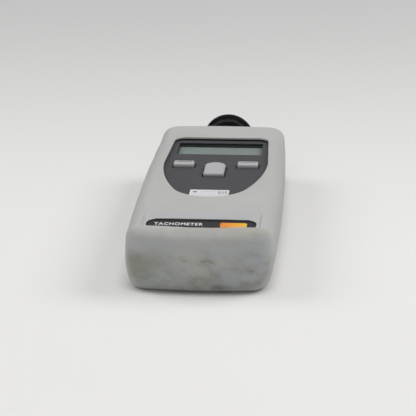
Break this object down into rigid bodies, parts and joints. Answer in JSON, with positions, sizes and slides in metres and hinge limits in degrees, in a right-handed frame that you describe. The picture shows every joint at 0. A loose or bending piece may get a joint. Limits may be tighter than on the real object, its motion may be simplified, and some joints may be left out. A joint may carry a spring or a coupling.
{
  "type": "handheld tachometer",
  "caption": "Handheld optical and contact tachometer in a light grey rubber cover, with display, press keys and a measuring wheel on a pull-off spindle adapter.",
  "frame": {"origin": "middle of the bounding box, on the plane of the cover's back rim", "axes": "+Y from the name plate end towards the measuring wheel, +Z out of the face, +X to the right of the display"},
  "size_m": [0.0732, 0.203, 0.0325],
  "materials": {
    "cover_rubber": "matt light grey rubber with handling dirt and scuffs",
    "housing_plastic": "fine spark-eroded dark grey plastic",
    "screw_steel": "zinc plated steel",
    "plate_film": "black printed film, satin",
    "badge_film": "amber printed film, graded from orange to yellow",
    "sticker_paper": "white printed paper label",
    "rating_paper": "silver-grey printed label",
    "window_clear": "clear flat acrylic",
    "lcd_panel": "grey-green unlit display behind a polariser",
    "black_plastic": "black moulded plastic",
    "strip_elastomer": "striped conductive elastomer",
    "board_green": "green solder mask over glass fibre",
    "chip_black": "black moulded packages",
    "passive_ceramic": "small ceramic parts",
    "key_plastic": "light grey moulded plastic, lightly polished by use",
    "dome_silicone": "translucent silicone",
    "cell_can": "printed sleeve; aluminium stands for the cell's mean density",
    "contact_brass": "nickel plated brass sheet",
    "spring_steel": "plated spring wire",
    "nose_metal": "turned aluminium",
    "diode_resin": "tinted epoxy",
    "lens_glass": "clear polished lens",
    "bush_bronze": "sintered bronze",
    "shaft_steel": "ground steel",
    "disc_metal": "half bright, half black",
    "tyre_rubber": "black rubber, fine rim marks"
  },
  "bodies": {
    "instrument": {"protective_cover": "cover_rubber", "front_shell": "housing_plastic", "rear_shell": "housing_plastic", "housing_screws": "screw_steel", "name_plate": "plate_film", "name_badge": "badge_film", "asset_sticker": "sticker_paper", "rating_label": "rating_paper", "display_window": "window_clear", "lcd_glass": "lcd_panel", "display_frame": "black_plastic", "elastomer_strips": "strip_elastomer", "main_board": "board_green", "board_chips": "chip_black", "board_passives": "passive_ceramic", "board_screws": "screw_steel", "left_dome": "dome_silicone", "measure_dome": "dome_silicone", "right_dome": "dome_silicone", "battery_tray": "black_plastic", "battery_cell_left": "cell_can", "battery_cell_right": "cell_can", "contact_plates": "contact_brass", "battery_springs": "spring_steel", "sensor_board": "board_green", "sensor_header": "black_plastic", "sensor_holder": "black_plastic", "emitter_led": "diode_resin", "photodiode": "diode_resin", "sensor_lens": "lens_glass", "nose_ring": "nose_metal"},
    "left_button": {"left_key": "key_plastic"},
    "measure_button": {"measure_key": "key_plastic"},
    "right_button": {"right_key": "key_plastic"},
    "lid": {"battery_cover": "housing_plastic"},
    "adapter": {"adapter_body": "black_plastic", "socket_oring": "tyre_rubber", "rear_bush": "bush_bronze", "front_bush": "bush_bronze"},
    "spindle": {"spindle_shaft": "shaft_steel", "reflector_disc": "disc_metal", "retaining_clip": "screw_steel"},
    "wheel": {"wheel_hub": "black_plastic", "wheel_tyre": "tyre_rubber"}
  },
  "joints": [
    {"name": "left_press", "type": "slide", "parent": "instrument", "child": "left_button", "axis": [0, 0, -1], "range_m": [0, 0.001], "stiffness_N_per_m": 400, "springref_m": -0.0005, "deforming": ["left_dome"]},
    {"name": "measure_press", "type": "slide", "parent": "instrument", "child": "measure_button", "axis": [0, 0, -1], "range_m": [0, 0.001], "stiffness_N_per_m": 400, "springref_m": -0.0005, "deforming": ["measure_dome"]},
    {"name": "right_press", "type": "slide", "parent": "instrument", "child": "right_button", "axis": [0, 0, -1], "range_m": [0, 0.001], "stiffness_N_per_m": 400, "springref_m": -0.0005, "deforming": ["right_dome"]},
    {"name": "lid_swing", "type": "hinge", "parent": "instrument", "child": "lid", "pos_m": [0, -0.0881, 0.0025], "axis": [-1, 0, 0], "range_deg": [0, 70]},
    {"name": "adapter_pull", "type": "slide", "parent": "instrument", "child": "adapter", "axis": [0, 1, 0], "range_m": [0, 0.012]},
    {"name": "spindle_spin", "type": "hinge", "parent": "adapter", "child": "spindle", "pos_m": [0, 0.0865, 0.0165], "axis": [0, 1, 0], "continuous": true},
    {"name": "wheel_pull", "type": "slide", "parent": "spindle", "child": "wheel", "axis": [0, 1, 0], "range_m": [0, 0.01]}
  ]
}
